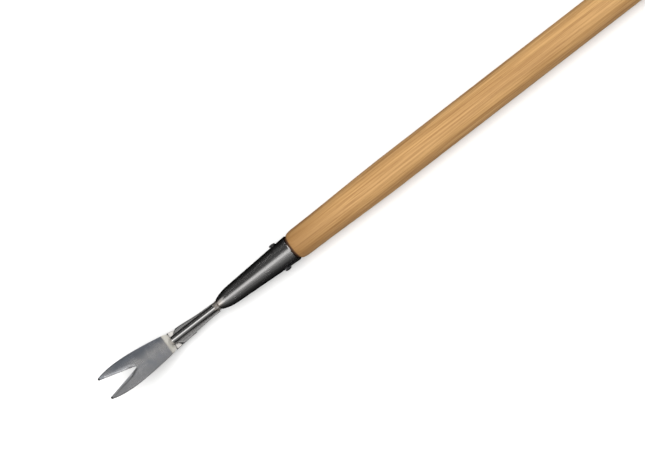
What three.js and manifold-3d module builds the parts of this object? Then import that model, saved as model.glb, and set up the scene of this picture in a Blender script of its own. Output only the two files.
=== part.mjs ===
// Long-handled forked weeder: a stainless fishtail blade, a sloping fulcrum plate and a pointed neck
// plate welded to a round neck rod, a swaged socket closed round the rod, and an ash handle pinned in
// the socket by one rivet.
//
// Millimetres, +Z up. The tool lies on its back: the axis of rod, socket and handle runs along X, with
// the blade at -X and the butt of the handle at +X, and the face that the user sees is up. Sizes along
// the axis are taken from the lower end of the neck rod, and heights from the axis; the finished group
// is then moved so that the origin is at the middle of the bounding box, on the ground.

import * as THREE from 'three';
import { mergeVertices } from 'three/addons/utils/BufferGeometryUtils.js';
import Module from 'manifold-3d';

const wasm = await Module();
wasm.setup();

// ---- driving dimensions -------------------------------------------------------------------------

const CLEARANCE = 0.3; // gap between two pieces that meet

const HANDLE_DIAMETER = 32;
const HANDLE_LENGTH = 782; // from the socket's mouth to the butt
const SHOULDER_LENGTH = 10;
const SHOULDER_OVERHANG = 1.15; // how far the wood stands out past the socket's rim
const SHOULDER_SETBACK = 0.25; // of the wood's face inside the rim's outer edge
const TAPER_LENGTH = 112; // from the shoulder to the full diameter
const BUTT_FLAT_DIAMETER = 16;
const BUTT_ROUNDING = 12; // length of the rounded end

const ROD_DIAMETER = 7.5;
const ROD_FREE_LENGTH = 57; // from its lower end to the socket
const ROD_INSERT_LENGTH = 16; // inside the socket's nose
const ROD_ROUNDING = 1.3; // at both ends

const SOCKET_LENGTH = 88.4;
const SOCKET_NOSE_WALL = 1.75; // round the rod, at the very end
const SOCKET_NOSE_LENGTH = 17; // the rounded end, as far as the cone
const NOSE_FULLNESS = 2.6; // power of the nose's curve: the higher, the blunter
const SOCKET_NOSE_SOLID = 12.5; // closed length round the rod
const SOCKET_SHOULDER_DIAMETER = 18.4; // where the cone starts
const SOCKET_MOUTH_DIAMETER = 26.3;
const SOCKET_WALL = 1.5;
const SOCKET_LIP_ROUNDING = 0.5;

const RIVET_SETBACK = 15.1; // from the socket's mouth to the rivet's axis
const RIVET_DIAMETER = 4;
const RIVET_HEAD_DIAMETER = 6.6;
const RIVET_HEAD_HEIGHT = 1.7;
const RIVET_HEAD_RIM = 0.35; // share of that height before its dome starts

const BLADE_THICKNESS = 2.5;
const BLADE_PITCH = THREE.MathUtils.degToRad(17); // tips above the axis
const BLADE_LENGTH = 71.2; // along the sheet, from the heel bend to the tips
const BLADE_WIDTH = 29;
const BLADE_WIDEST_AT = 48; // from the heel bend
const BLADE_BEND_WIDTH = 19.4;
const NOTCH_DEPTH = 36;
const NOTCH_ROUNDING = 1.1;
const TINE_SPACING = 21.2; // between the two points
const TINE_POINT_WIDTH = 1.4;
const TINE_POINT_NICK = 0.4; // depth of the dimple in each point
const TINE_SWELL = 2; // how far the tines keep their width past the middle of their taper
const FLANK_SWELL = 0.62; // share of the widening flank that its curve is drawn to
const NOTCH_POINT = 0.7; // of the notch's rounding, how sharply its bottom is drawn
const BEVEL_WIDTH = 2.3; // ground along both sides of the notch
const BEVEL_EDGE = 1.4; // thickness left at the edge
const CUTTER_SPARE = 1.5; // how far the bevel's cut runs on past the sheet
const HEEL_LENGTH = 5.4; // the band below the heel bend
const HEEL_SLOPE = THREE.MathUtils.degToRad(33);
const HEEL_END_WIDTH = 15.8;
const HEEL_SWELL = 0.35; // share of the heel that its curved sides are drawn to
const HEEL_SETBACK = 1.3; // from the rod's end back to the heel's upper edge

const PLATE_THICKNESS = 2.5;
const PLATE_TOP_WIDTH = 18; // of the fulcrum plate, against the blade's heel
const PLATE_FOOT_WIDTH = 12;
const FOOT_LENGTH = 6;
const BEND_RADIUS = 2.6; // in the middle of the sheet, at every bend

const NECK_PLATE_THICKNESS = 2;
const NECK_PLATE_START = 1.8; // of its cut-off point, from the rod's end
const NECK_PLATE_POINT_WIDTH = 6;
const NECK_PLATE_SHOULDER = 7.5; // from the rod's end to where the point reaches full width
const NECK_PLATE_WIDTH = 15.8;
const NECK_PLATE_NOSE_WIDTH = 10.4;
const NECK_PLATE_DRAW = 5.5; // half width that its sides are drawn towards
const NECK_PLATE_NEAR_DRAW = 0.3; // share of its length over which the sides leave the full width
const NECK_PLATE_FAR_DRAW = 0.3; // share of its length from which they run straight to the socket

const WELD_BEAD = 2.2; // size of a fillet bead across its face
const WELD_CROWN = 0.33; // share of its size that a bead over a seam stands out
const ROD_WELD_REACH = 0.7; // share of its size that the rod's bead runs up the heel
const NOSE_WELD_LENGTH = 3.6; // of the collar at the socket's nose
const WELD_COLLAR_STEP = 0.2; // of the collar inside the nose's edge
const ROD_WELD_WIDTH = 0.6; // share of the rod's diameter
const PLATE_WELD_WIDTH = 0.8; // share of the width that it joins

const ROUND_SEGMENTS = 48;
const SMALL_SEGMENTS = 24;
const BEND_STEPS = 5;

// ---- places worked out from them ----------------------------------------------------------------

const rodRadius = ROD_DIAMETER / 2;
const noseRadius = rodRadius + SOCKET_NOSE_WALL;
const mouthRadius = SOCKET_MOUTH_DIAMETER / 2;
const neckRadius = mouthRadius + SHOULDER_OVERHANG;
const axisHeight = Math.max(HANDLE_DIAMETER / 2, neckRadius); // the handle lies on the ground
const noseX = ROD_FREE_LENGTH;
const coneX = noseX + SOCKET_NOSE_LENGTH;
const mouthX = noseX + SOCKET_LENGTH;
const rivetX = mouthX - RIVET_SETBACK;
const tenonX = noseX + ROD_INSERT_LENGTH + CLEARANCE;
const buttX = mouthX + HANDLE_LENGTH;
const rivetHoleRadius = RIVET_DIAMETER / 2 + CLEARANCE;

// The heel band falls towards the handle, its upper face passing just under the end of the rod.
const heelDown = new THREE.Vector2(Math.cos(HEEL_SLOPE), -Math.sin(HEEL_SLOPE));
const heelFace = new THREE.Vector2(Math.sin(HEEL_SLOPE), Math.cos(HEEL_SLOPE));
const heelEdgeZ = HEEL_SETBACK * Math.tan(HEEL_SLOPE) - rodRadius - CLEARANCE;
const heelEnd = new THREE.Vector2(-HEEL_SETBACK, heelEdgeZ)
  .addScaledVector(heelFace, -BLADE_THICKNESS / 2);
const heelBend = heelEnd.clone().addScaledVector(heelDown, -HEEL_LENGTH);
const bladeOut = new THREE.Vector2(-Math.cos(BLADE_PITCH), Math.sin(BLADE_PITCH));

// The fulcrum plate carries on in the heel's own plane, down to a level foot on the ground.
const plateTop = heelEnd.clone().addScaledVector(heelDown, CLEARANCE);
const footZ = PLATE_THICKNESS / 2 - axisHeight;
const footStart = plateTop.clone().addScaledVector(heelDown, (footZ - plateTop.y) / heelDown.y);
const footEnd = footStart.clone().add(new THREE.Vector2(FOOT_LENGTH, 0));

// The neck plate lies under the rod, from the sloping plate to the weld collar at the socket.
const neckPlateTop = -(rodRadius + CLEARANCE);
const neckPlateUnder = neckPlateTop - NECK_PLATE_THICKNESS;
const neckPlateEnd = noseX - NOSE_WELD_LENGTH - 2 * CLEARANCE;

// Where a line set clear of the sloping plate's upper face is at a height z.
function clearOfPlate(z) {
  const face = plateTop.clone().addScaledVector(heelFace, PLATE_THICKNESS / 2 + CLEARANCE);
  return face.x + ((z - face.y) * heelDown.x) / heelDown.y;
}

// ---- outlines -----------------------------------------------------------------------------------

// Radius of the outside of the socket: a rounded nose that runs into the cone.
function socketRadius(x) {
  const shoulderRadius = SOCKET_SHOULDER_DIAMETER / 2;
  const cone = (mouthRadius - shoulderRadius) / (mouthX - coneX);
  if (x >= coneX) return shoulderRadius + cone * (x - coneX);
  const along = (coneX - x) / SOCKET_NOSE_LENGTH;
  const conePart = shoulderRadius - cone * (coneX - x);
  const drop = conePart - noseRadius;
  return conePart - drop * Math.pow(along, NOSE_FULLNESS);
}

// Centre line of a bent strip with every inner corner rounded, as points with their normals.
function bentLine(corners) {
  const line = [];
  const add = (point, tangent) => line.push({ point, normal: new THREE.Vector2(-tangent.y, tangent.x) });
  const direction = (a, b) => b.clone().sub(a).normalize();
  add(corners[0], direction(corners[0], corners[1]));
  for (let i = 1; i < corners.length - 1; i += 1) {
    const before = direction(corners[i - 1], corners[i]);
    const after = direction(corners[i], corners[i + 1]);
    const turn = Math.atan2(before.cross(after), before.dot(after));
    const start = corners[i].clone().addScaledVector(before, -BEND_RADIUS * Math.tan(Math.abs(turn) / 2));
    const side = new THREE.Vector2(-before.y, before.x).multiplyScalar(Math.sign(turn) * BEND_RADIUS);
    const centre = start.clone().add(side);
    for (let k = 0; k <= BEND_STEPS; k += 1) {
      const angle = (turn * k) / BEND_STEPS;
      const point = start.clone().rotateAround(centre, angle);
      add(point, before.clone().rotateAround(new THREE.Vector2(), angle));
    }
  }
  const last = corners.length - 1;
  add(corners[last], direction(corners[last - 1], corners[last]));
  return line;
}

// Side view of a bent strip of even thickness.
function stripOutline(corners, thickness) {
  const line = bentLine(corners);
  const offset = ({ point, normal }, distance) => point.clone().addScaledVector(normal, distance);
  const upper = line.map((p) => offset(p, thickness / 2));
  const lower = line.map((p) => offset(p, -thickness / 2)).reverse();
  return new THREE.Shape([...upper, ...lower]);
}

// Plan view of the blade: a fishtail that widens to the tines, with a narrowed heel and a V notch.
function bladePlan() {
  const reach = (along) => heelBend.x + bladeOut.x * along;
  const heelX = heelEnd.x + BLADE_THICKNESS;
  const cornerX = heelBend.x + (heelEnd.x - heelBend.x) * HEEL_SWELL;
  const tipX = reach(BLADE_LENGTH);
  const nickX = tipX - TINE_POINT_NICK;
  const widestX = reach(BLADE_WIDEST_AT);
  const flankX = reach(BLADE_WIDEST_AT * FLANK_SWELL);
  const taperX = reach((BLADE_WIDEST_AT + BLADE_LENGTH) / 2 + TINE_SWELL);
  const apexX = reach(BLADE_LENGTH - NOTCH_DEPTH);
  const half = BLADE_WIDTH / 2;
  const outerTip = TINE_SPACING / 2 + TINE_POINT_WIDTH / 2;
  const innerTip = TINE_SPACING / 2 - TINE_POINT_WIDTH / 2;
  const plan = new THREE.Shape();
  plan.moveTo(heelX, -HEEL_END_WIDTH / 2);
  plan.lineTo(heelX, HEEL_END_WIDTH / 2);
  plan.quadraticCurveTo(cornerX, BLADE_BEND_WIDTH / 2, heelBend.x, BLADE_BEND_WIDTH / 2);
  plan.quadraticCurveTo(flankX, half, widestX, half);
  plan.quadraticCurveTo(taperX, half, tipX, outerTip);
  plan.lineTo(nickX, TINE_SPACING / 2);
  plan.lineTo(tipX, innerTip);
  plan.lineTo(apexX - NOTCH_ROUNDING, NOTCH_ROUNDING);
  plan.quadraticCurveTo(apexX + NOTCH_ROUNDING * NOTCH_POINT, 0, apexX - NOTCH_ROUNDING, -NOTCH_ROUNDING);
  plan.lineTo(tipX, -innerTip);
  plan.lineTo(nickX, -TINE_SPACING / 2);
  plan.lineTo(tipX, -outerTip);
  plan.quadraticCurveTo(taperX, -half, widestX, -half);
  plan.quadraticCurveTo(flankX, -half, heelBend.x, -BLADE_BEND_WIDTH / 2);
  plan.quadraticCurveTo(cornerX, -BLADE_BEND_WIDTH / 2, heelX, -HEEL_END_WIDTH / 2);
  return plan;
}

// Plan view of the fulcrum plate: as wide as the heel, a little narrower at the foot.
function platePlan() {
  const topX = plateTop.x - PLATE_THICKNESS;
  const footX = footEnd.x + PLATE_THICKNESS;
  const plan = new THREE.Shape();
  plan.moveTo(topX, PLATE_TOP_WIDTH / 2);
  plan.lineTo(plateTop.x, PLATE_TOP_WIDTH / 2);
  plan.lineTo(footStart.x, PLATE_FOOT_WIDTH / 2);
  plan.lineTo(footX, PLATE_FOOT_WIDTH / 2);
  plan.lineTo(footX, -PLATE_FOOT_WIDTH / 2);
  plan.lineTo(footStart.x, -PLATE_FOOT_WIDTH / 2);
  plan.lineTo(plateTop.x, -PLATE_TOP_WIDTH / 2);
  plan.lineTo(topX, -PLATE_TOP_WIDTH / 2);
  return plan;
}

// Plan view of the neck plate: a cut-off point at the blade, then sides drawn in towards the socket.
function neckPlatePlan() {
  const length = neckPlateEnd - NECK_PLATE_SHOULDER;
  const half = NECK_PLATE_WIDTH / 2;
  const nearX = NECK_PLATE_SHOULDER + length * NECK_PLATE_NEAR_DRAW;
  const farX = NECK_PLATE_SHOULDER + length * NECK_PLATE_FAR_DRAW;
  const plan = new THREE.Shape();
  plan.moveTo(NECK_PLATE_START, -NECK_PLATE_POINT_WIDTH / 2);
  plan.lineTo(NECK_PLATE_START, NECK_PLATE_POINT_WIDTH / 2);
  plan.lineTo(NECK_PLATE_SHOULDER, half);
  plan.bezierCurveTo(nearX, half, farX, NECK_PLATE_DRAW, neckPlateEnd, NECK_PLATE_NOSE_WIDTH / 2);
  plan.lineTo(neckPlateEnd, -NECK_PLATE_NOSE_WIDTH / 2);
  plan.bezierCurveTo(farX, -NECK_PLATE_DRAW, nearX, -half, NECK_PLATE_SHOULDER, -half);
  return plan;
}

// ---- making solids ------------------------------------------------------------------------------

// A body of revolution about the tool's axis, from [x, radius] pairs.
function turned(profile, segments = ROUND_SEGMENTS) {
  const points = profile.map(([x, radius]) => new THREE.Vector2(radius, x));
  return new THREE.LatheGeometry(points, segments).rotateZ(-Math.PI / 2);
}

// A side view (x, height) made solid across the tool, centred on it.
function acrossTool(shape, width) {
  const solid = new THREE.ExtrudeGeometry(shape, { depth: width, bevelEnabled: false });
  return solid.rotateX(Math.PI / 2).translate(0, width / 2, 0);
}

// A plan view (x, y) made solid from one height to another.
function upright(shape, bottom, top) {
  const solid = new THREE.ExtrudeGeometry(shape, {
    depth: top - bottom, bevelEnabled: false, curveSegments: 14 });
  return solid.translate(0, 0, bottom);
}

function toManifold(geometry) {
  const bare = geometry.clone();
  bare.deleteAttribute('normal');
  bare.deleteAttribute('uv');
  const merged = mergeVertices(bare, 1e-5);
  return new wasm.Manifold(new wasm.Mesh({
    numProp: 3,
    vertProperties: new Float32Array(merged.attributes.position.array),
    triVerts: new Uint32Array(merged.index.array),
  }));
}

function toGeometry(manifold) {
  const mesh = manifold.getMesh();
  const geometry = new THREE.BufferGeometry();
  geometry.setAttribute('position', new THREE.BufferAttribute(mesh.vertProperties, 3));
  geometry.setIndex(new THREE.BufferAttribute(mesh.triVerts, 1));
  geometry.computeVertexNormals();
  return geometry;
}

function piece(name, geometry, material) {
  const mesh = new THREE.Mesh(geometry, material);
  mesh.name = name;
  return mesh;
}

const steel = (color, roughness) => new THREE.MeshStandardMaterial({ color, roughness, metalness: 1 });
const ash = new THREE.MeshStandardMaterial({ color: 0xc58e4e, roughness: 0.5, metalness: 0 });

// ---- the pieces ---------------------------------------------------------------------------------

// Handle: straight ash with a drawn-in neck, a rounded shoulder over the socket and a tapered tenon.
function handle() {
  const tenonRadius = (x) => socketRadius(x) - SOCKET_WALL - CLEARANCE;
  const shoulderX = mouthX + CLEARANCE;
  const neckX = mouthX + SHOULDER_LENGTH;
  const fullX = neckX + TAPER_LENGTH;
  const full = HANDLE_DIAMETER / 2;
  const face = mouthRadius - SHOULDER_SETBACK;
  const profile = [[tenonX, 0], [tenonX, tenonRadius(tenonX) - 1], [tenonX + 1, tenonRadius(tenonX + 1)]];
  profile.push([shoulderX, tenonRadius(mouthX)], [shoulderX, face]);
  for (let k = 1; k <= 6; k += 1) {
    const angle = (k / 6) * (Math.PI / 2);
    const out = face + (neckRadius - face) * Math.sin(angle);
    profile.push([shoulderX + (neckX - shoulderX) * (1 - Math.cos(angle)), out]);
  }
  for (let k = 1; k <= 10; k += 1) {
    const along = k / 10;
    const swell = (1 - Math.cos(Math.PI * along)) / 2;
    profile.push([neckX + (fullX - neckX) * along, neckRadius + (full - neckRadius) * swell]);
  }
  const flat = BUTT_FLAT_DIAMETER / 2;
  for (let k = 0; k <= 8; k += 1) {
    const angle = (k / 8) * (Math.PI / 2);
    const out = flat + (full - flat) * Math.cos(angle);
    profile.push([buttX - BUTT_ROUNDING * (1 - Math.sin(angle)), out]);
  }
  profile.push([buttX, 0]);
  return piece('handle', crossDrilled(turned(profile)), ash);
}

// Takes out the rivet's hole, which runs across the tool.
function crossDrilled(geometry) {
  const drill = new THREE.CylinderGeometry(
    rivetHoleRadius, rivetHoleRadius, 2 * HANDLE_DIAMETER, SMALL_SEGMENTS);
  drill.translate(rivetX, 0, 0);
  return toGeometry(toManifold(geometry).subtract(toManifold(drill)));
}

// Socket: a swaged steel cone, open at the mouth and closed round the rod at the nose.
function socket() {
  const bore = rodRadius + CLEARANCE;
  const innerX = noseX + SOCKET_NOSE_SOLID;
  const easing = SOCKET_LIP_ROUNDING;
  const profile = [[noseX, bore], [noseX, noseRadius - easing]];
  profile.push([noseX + easing, socketRadius(noseX + easing)]);
  const noseSteps = 10;
  for (let k = 1; k <= noseSteps; k += 1) {
    const x = noseX + easing + ((SOCKET_NOSE_LENGTH - easing) * k) / noseSteps;
    profile.push([x, socketRadius(x)]);
  }
  profile.push([mouthX - easing, socketRadius(mouthX - easing)]);
  profile.push([mouthX, mouthRadius - easing]);
  profile.push([mouthX, mouthRadius - SOCKET_WALL]);
  profile.push([coneX, SOCKET_SHOULDER_DIAMETER / 2 - SOCKET_WALL]);
  profile.push([innerX, socketRadius(innerX) - SOCKET_WALL]);
  profile.push([innerX, bore], [noseX, bore]);
  return piece('socket', crossDrilled(turned(profile)), steel(0x8d8d8f, 0.22));
}

// Rivet: one pin through socket and handle, with a domed head on each side.
function rivet() {
  const seat = socketRadius(rivetX + RIVET_HEAD_DIAMETER / 2) + CLEARANCE;
  const head = RIVET_HEAD_DIAMETER / 2;
  const side = [[RIVET_DIAMETER / 2, seat], [head, seat], [head, seat + RIVET_HEAD_HEIGHT * RIVET_HEAD_RIM]];
  const steps = 5;
  for (let k = 1; k < steps; k += 1) {
    const angle = (k / steps) * (Math.PI / 2);
    const rise = RIVET_HEAD_RIM + (1 - RIVET_HEAD_RIM) * Math.sin(angle);
    side.push([head * Math.cos(angle), seat + RIVET_HEAD_HEIGHT * rise]);
  }
  side.push([0, seat + RIVET_HEAD_HEIGHT]);
  const mirrored = side.map(([radius, height]) => [radius, -height]).reverse();
  const points = [...mirrored, ...side].map(([radius, height]) => new THREE.Vector2(radius, height));
  const pin = new THREE.LatheGeometry(points, SMALL_SEGMENTS).translate(rivetX, 0, 0);
  return piece('rivet', pin, steel(0x6f6f70, 0.35));
}

// Neck rod: a round bar with rounded ends, from the blade's heel into the socket's nose.
function neckRod() {
  const endX = noseX + ROD_INSERT_LENGTH;
  const steps = 4;
  const lowerEnd = [];
  for (let k = 0; k <= steps; k += 1) {
    const angle = (k / steps) * (Math.PI / 2);
    lowerEnd.push([ROD_ROUNDING * (1 - Math.sin(angle)), rodRadius - ROD_ROUNDING * (1 - Math.cos(angle))]);
  }
  lowerEnd.reverse();
  const upperEnd = lowerEnd.map(([x, radius]) => [endX - x, radius]).reverse();
  const profile = [[0, 0], ...lowerEnd, ...upperEnd, [endX, 0]];
  return piece('neck_rod', turned(profile, 32), steel(0x8a8a8c, 0.2));
}

// Blade: bent sheet cut to the fishtail outline, with a bevel ground on each side of the notch.
function blade() {
  const beyond = heelBend.clone().addScaledVector(bladeOut, BLADE_LENGTH + BLADE_THICKNESS);
  const strip = acrossTool(stripOutline([beyond, heelBend, heelEnd], BLADE_THICKNESS), 2 * BLADE_WIDTH);
  const outline = upright(bladePlan(), -2 * axisHeight, 3 * axisHeight);
  let body = toManifold(strip).intersect(toManifold(outline));
  for (const side of [-1, 1]) body = body.subtract(toManifold(bevelCutter(side)));
  return piece('blade', toGeometry(body), steel(0x8e9298, 0.35));
}

// The wedge that grinds one side of the notch, from the upper face down to the edge that is left.
function bevelCutter(side) {
  const slope = (BLADE_THICKNESS - BEVEL_EDGE) / BEVEL_WIDTH;
  const top = BLADE_THICKNESS / 2;
  const wedge = new THREE.Shape([
    new THREE.Vector2(-CUTTER_SPARE, BEVEL_EDGE - top - CUTTER_SPARE * slope),
    new THREE.Vector2(BEVEL_WIDTH + CUTTER_SPARE, top + CUTTER_SPARE * slope),
    new THREE.Vector2(-CUTTER_SPARE, top + CUTTER_SPARE * slope)]);
  const run = NOTCH_DEPTH;
  const spread = TINE_SPACING / 2 - TINE_POINT_WIDTH / 2;
  const angle = Math.atan2(spread, run);
  const length = Math.hypot(spread, run) + 2 * CUTTER_SPARE;
  const cutter = new THREE.ExtrudeGeometry(wedge, { depth: length, bevelEnabled: false });
  // x of the wedge is turned to point into the tine, its height stays up, its length runs to the tips
  const intoTine = new THREE.Vector3(Math.sin(angle), side * Math.cos(angle), 0);
  const toTips = new THREE.Vector3(-Math.cos(angle), side * Math.sin(angle), 0);
  const up = new THREE.Vector3(0, 0, 1);
  const place = new THREE.Matrix4();
  if (side > 0) place.makeBasis(intoTine, up, toTips.clone().negate());
  if (side > 0) cutter.translate(0, 0, -length);
  if (side < 0) place.makeBasis(intoTine, up, toTips);
  cutter.applyMatrix4(place);
  const apex = heelBend.clone().addScaledVector(bladeOut, BLADE_LENGTH - NOTCH_DEPTH);
  cutter.rotateY(BLADE_PITCH);
  return cutter.translate(apex.x, 0, apex.y);
}

// Fulcrum plate: a strip that carries the heel's slope down to a level foot, on which the tool rocks.
function fulcrumPlate() {
  const strip = acrossTool(
    stripOutline([plateTop, footStart, footEnd], PLATE_THICKNESS), 2 * PLATE_TOP_WIDTH);
  const outline = upright(platePlan(), -2 * axisHeight, 2 * axisHeight);
  const body = toManifold(strip).intersect(toManifold(outline));
  return piece('fulcrum_plate', toGeometry(body), steel(0x86888b, 0.25));
}

// Neck plate: a level strip that stiffens the rod, mitred to stand on the fulcrum plate.
function neckPlate() {
  const side = new THREE.Shape([
    new THREE.Vector2(clearOfPlate(neckPlateTop), neckPlateTop),
    new THREE.Vector2(clearOfPlate(neckPlateUnder), neckPlateUnder),
    new THREE.Vector2(neckPlateEnd, neckPlateUnder),
    new THREE.Vector2(neckPlateEnd, neckPlateTop)]);
  const strip = acrossTool(side, 2 * NECK_PLATE_WIDTH);
  const outline = upright(neckPlatePlan(), -2 * axisHeight, 2 * axisHeight);
  const body = toManifold(strip).intersect(toManifold(outline));
  return piece('neck_plate', toGeometry(body), steel(0x86888b, 0.25));
}

// Weld collar: the bead where the socket's nose is closed on the rod.
function noseWeld() {
  const bore = rodRadius + CLEARANCE;
  const bead = noseRadius - WELD_COLLAR_STEP - bore;
  const backX = noseX - CLEARANCE;
  const profile = [[backX, bore]];
  for (let k = 6; k >= 0; k -= 1) {
    const angle = (k / 6) * (Math.PI / 2);
    profile.push([backX - NOSE_WELD_LENGTH * Math.sin(angle), bore + bead * Math.cos(angle)]);
  }
  profile.push([backX, bore]);
  return piece('nose_weld', turned(profile, 32), steel(0x9a8d80, 0.45));
}

// A fillet bead across the tool, from the three corners of its side view.
function fillet(name, corners, width) {
  return piece(name, acrossTool(new THREE.Shape(corners), width), steel(0x9a9188, 0.5));
}

// Rod weld: fills the corner between the end of the rod and the blade's heel.
function rodWeld() {
  const onHeel = (along) => heelEnd.clone()
    .addScaledVector(heelFace, BLADE_THICKNESS / 2 + CLEARANCE)
    .addScaledVector(heelDown, -along);
  const low = onHeel(CLEARANCE);
  const high = onHeel(CLEARANCE + WELD_BEAD * ROD_WELD_REACH);
  const atRod = new THREE.Vector2(-CLEARANCE, high.y);
  const under = new THREE.Vector2(-CLEARANCE, low.y + CLEARANCE);
  return fillet('rod_weld', [low, under, atRod, high], ROD_DIAMETER * ROD_WELD_WIDTH);
}

// Heel weld: the bead along the underside of the seam between blade and fulcrum plate.
function heelWeld() {
  const seam = heelEnd.clone().lerp(plateTop, 0.5)
    .addScaledVector(heelFace, -(BLADE_THICKNESS / 2 + CLEARANCE));
  const upper = seam.clone().addScaledVector(heelDown, -WELD_BEAD / 2);
  const lower = seam.clone().addScaledVector(heelDown, WELD_BEAD / 2);
  const crown = seam.clone().addScaledVector(heelFace, -WELD_BEAD * WELD_CROWN);
  return fillet('heel_weld', [upper, crown, lower], HEEL_END_WIDTH * PLATE_WELD_WIDTH);
}

// Point weld: fills the corner under the neck plate, where its mitre stands on the fulcrum plate.
function pointWeld() {
  const top = neckPlateUnder - CLEARANCE;
  const corner = new THREE.Vector2(clearOfPlate(top), top);
  const alongNeck = corner.clone().add(new THREE.Vector2(WELD_BEAD, 0));
  const alongPlate = corner.clone().addScaledVector(heelDown, WELD_BEAD);
  return fillet('point_weld', [corner, alongPlate, alongNeck], NECK_PLATE_POINT_WIDTH * PLATE_WELD_WIDTH);
}

// ---- assembly -----------------------------------------------------------------------------------

const group = new THREE.Group();
group.add(handle(), socket(), rivet(), neckRod(), blade(), fulcrumPlate(), neckPlate());
group.add(noseWeld(), rodWeld(), heelWeld(), pointWeld());

const box = new THREE.Box3().setFromObject(group);
group.position.set(-(box.min.x + box.max.x) / 2, 0, -box.min.z);

export default group;
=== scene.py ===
# The looks of a forked weeder, made round its packed design.
import math

import bmesh
import bpy
from bpy.props import FloatProperty, FloatVectorProperty, IntProperty, PointerProperty
from mathutils import Matrix, Vector


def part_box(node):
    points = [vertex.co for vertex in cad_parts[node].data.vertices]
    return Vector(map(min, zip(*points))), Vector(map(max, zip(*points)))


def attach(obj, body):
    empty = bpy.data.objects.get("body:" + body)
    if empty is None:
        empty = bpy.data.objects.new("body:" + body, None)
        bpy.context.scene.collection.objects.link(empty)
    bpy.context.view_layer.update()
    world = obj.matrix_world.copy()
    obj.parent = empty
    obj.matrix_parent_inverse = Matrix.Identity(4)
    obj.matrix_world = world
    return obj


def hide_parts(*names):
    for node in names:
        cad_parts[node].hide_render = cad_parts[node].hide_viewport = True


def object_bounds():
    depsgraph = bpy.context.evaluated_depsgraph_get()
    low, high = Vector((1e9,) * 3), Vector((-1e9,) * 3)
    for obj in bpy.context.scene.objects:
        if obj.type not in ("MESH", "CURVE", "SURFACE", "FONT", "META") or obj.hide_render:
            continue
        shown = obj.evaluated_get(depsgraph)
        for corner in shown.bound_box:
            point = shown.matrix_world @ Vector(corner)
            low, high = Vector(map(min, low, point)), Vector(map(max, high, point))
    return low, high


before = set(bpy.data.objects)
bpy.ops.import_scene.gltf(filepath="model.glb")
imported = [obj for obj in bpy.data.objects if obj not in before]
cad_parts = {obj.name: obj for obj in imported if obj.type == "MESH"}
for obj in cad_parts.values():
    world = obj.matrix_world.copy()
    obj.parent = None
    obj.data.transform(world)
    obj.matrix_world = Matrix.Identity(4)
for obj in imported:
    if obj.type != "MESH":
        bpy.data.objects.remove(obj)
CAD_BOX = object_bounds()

bl_info = {
    "name": "Forked Weeder",
    "version": (1, 0, 0),
    "blender": (4, 5, 0),
    "location": "View3D > Sidebar > Weeder",
    "description": "Builds a forked weeder: ash handle, steel socket, neck, fulcrum plate and blade",
    "category": "Object",
}

MM = 0.001
BODY = "root"

SAME_SPOT = 0.001 * MM              # points of a turned body nearer than this are one
SAME_CORNER = 0.002 * MM            # the same for a sheet
SLIVER = 1e-14                      # area of a face that isn't one, in square metres
TURNED_CORNER = math.radians(35)    # edges sharper than this stay sharp
SHEET_CORNER = math.radians(50)
BEVELLED_CORNER = math.radians(42)
PACKED_SAG = 0.03 * MM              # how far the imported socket's facets cut inside its round
ROD_FIT = 0.02 * MM                 # the socket's bore round the rod
TENON_CHAMFER = 1 * MM
RIVET_SEGMENTS = 48
RIM_SUPPORTS = (1.6, 1.25, 1.05)    # in lip roundings back from the mouth
RIM_CHAMFER = ((0.9, 0.07), (0.1, 0.93), (0.0, 1.2))    # (back, share of the fall)
NOSE_FULLNESS = 2.6                 # higher is blunter
RIVET_RIM = 0.3                     # straight rim of a rivet head, as a share of its height


# ---- sizes and colours --------------------------------------------------------------------------

def length(name, value_mm, description):
    return FloatProperty(name=name, description=description, default=value_mm * MM,
                         min=0.0, unit="LENGTH", subtype="DISTANCE", precision=5)


def angle(name, degrees, description):
    return FloatProperty(name=name, description=description, default=math.radians(degrees),
                         unit="ROTATION", subtype="ANGLE")


def colour(name, value, description):
    return FloatVectorProperty(name=name, description=description, default=value, size=3,
                               min=0.0, max=1.0, subtype="COLOR")


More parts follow.
